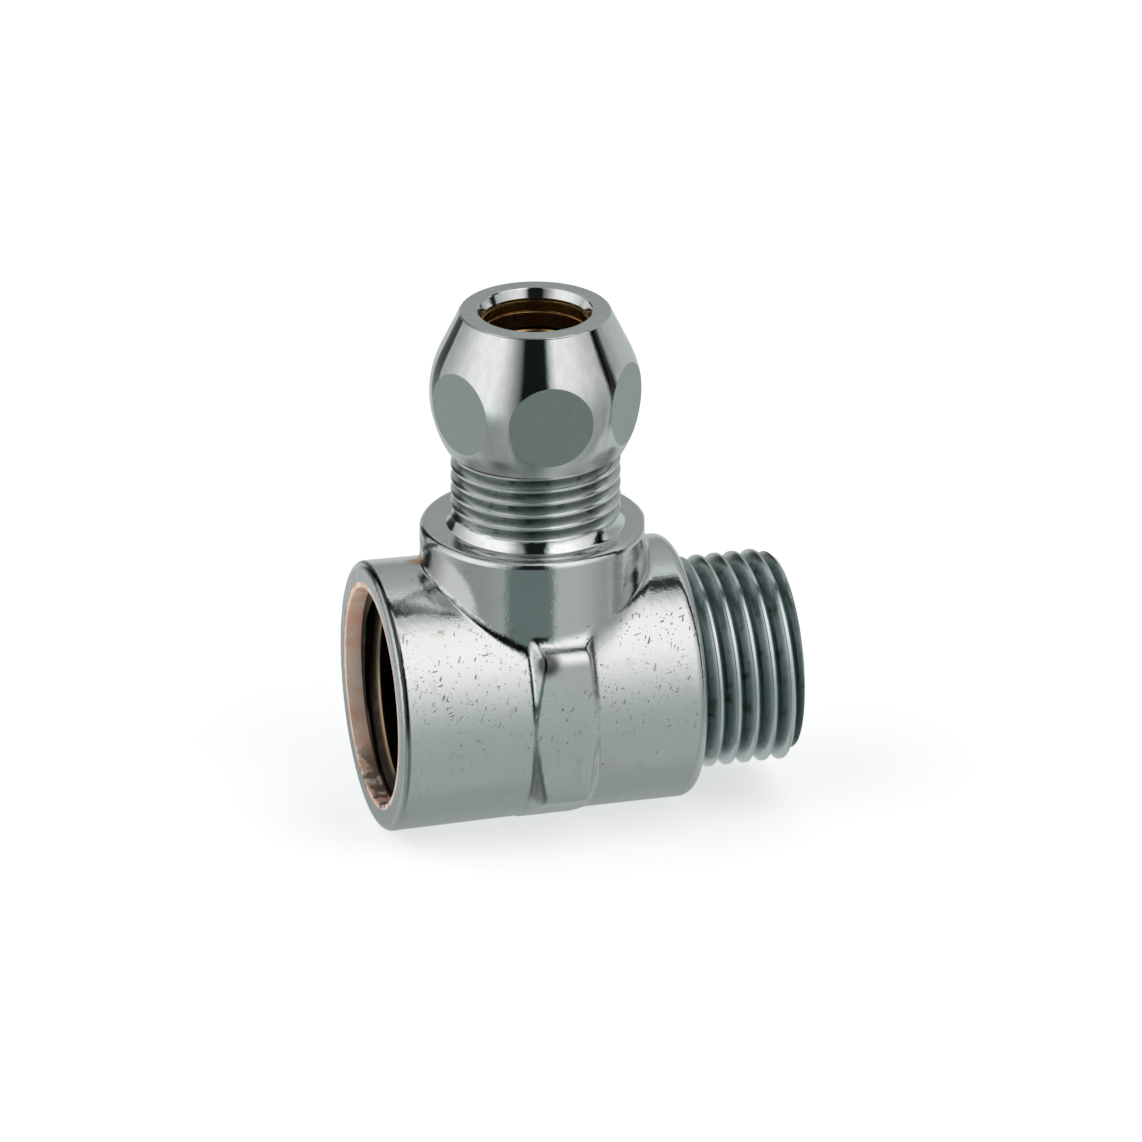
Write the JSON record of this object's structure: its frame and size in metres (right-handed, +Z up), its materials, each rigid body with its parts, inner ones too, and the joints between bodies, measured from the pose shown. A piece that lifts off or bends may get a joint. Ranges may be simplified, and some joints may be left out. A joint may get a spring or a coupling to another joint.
{
  "type": "compression branch tee",
  "caption": "Plated brass pipe tee with a threaded socket, a male thread in line with it, and a compression nut and ring on its side branch for small tube.",
  "frame": {"origin": "the point where the run's axis and the branch's axis cross", "axes": "+X along the run, towards the male thread; +Z up the branch, towards the compression nut; the socket's mouth faces -X"},
  "size_m": [0.0415, 0.0268, 0.0527],
  "materials": {
    "chrome_plate": "polished chrome plate over a forged brass body, dulled to satin low down and inside the threads",
    "nut_chrome_plate": "polished chrome plate on turned brass, with six finely brushed spanner flats",
    "bare_brass": "bare turned brass, slightly tarnished"
  },
  "bodies": {
    "fitting": {"tee_body": "chrome_plate"},
    "ring": {"compression_ring": "bare_brass"},
    "nut": {"compression_nut": "nut_chrome_plate"}
  },
  "joints": [
    {"name": "nut_advance", "type": "slide", "parent": "fitting", "child": "ring", "axis": [0, 0, 1], "range_m": [-0.00134, 0.00669]},
    {"name": "nut_spin", "type": "hinge", "parent": "ring", "child": "nut", "pos_m": [0, 0, 0.0322], "axis": [0, 0, 1], "range_deg": [-360, 1800]}
  ],
  "couplings": [
    {"joint": "nut_advance", "follows": "nut_spin", "m_per_rad": 0.00021279}
  ]
}
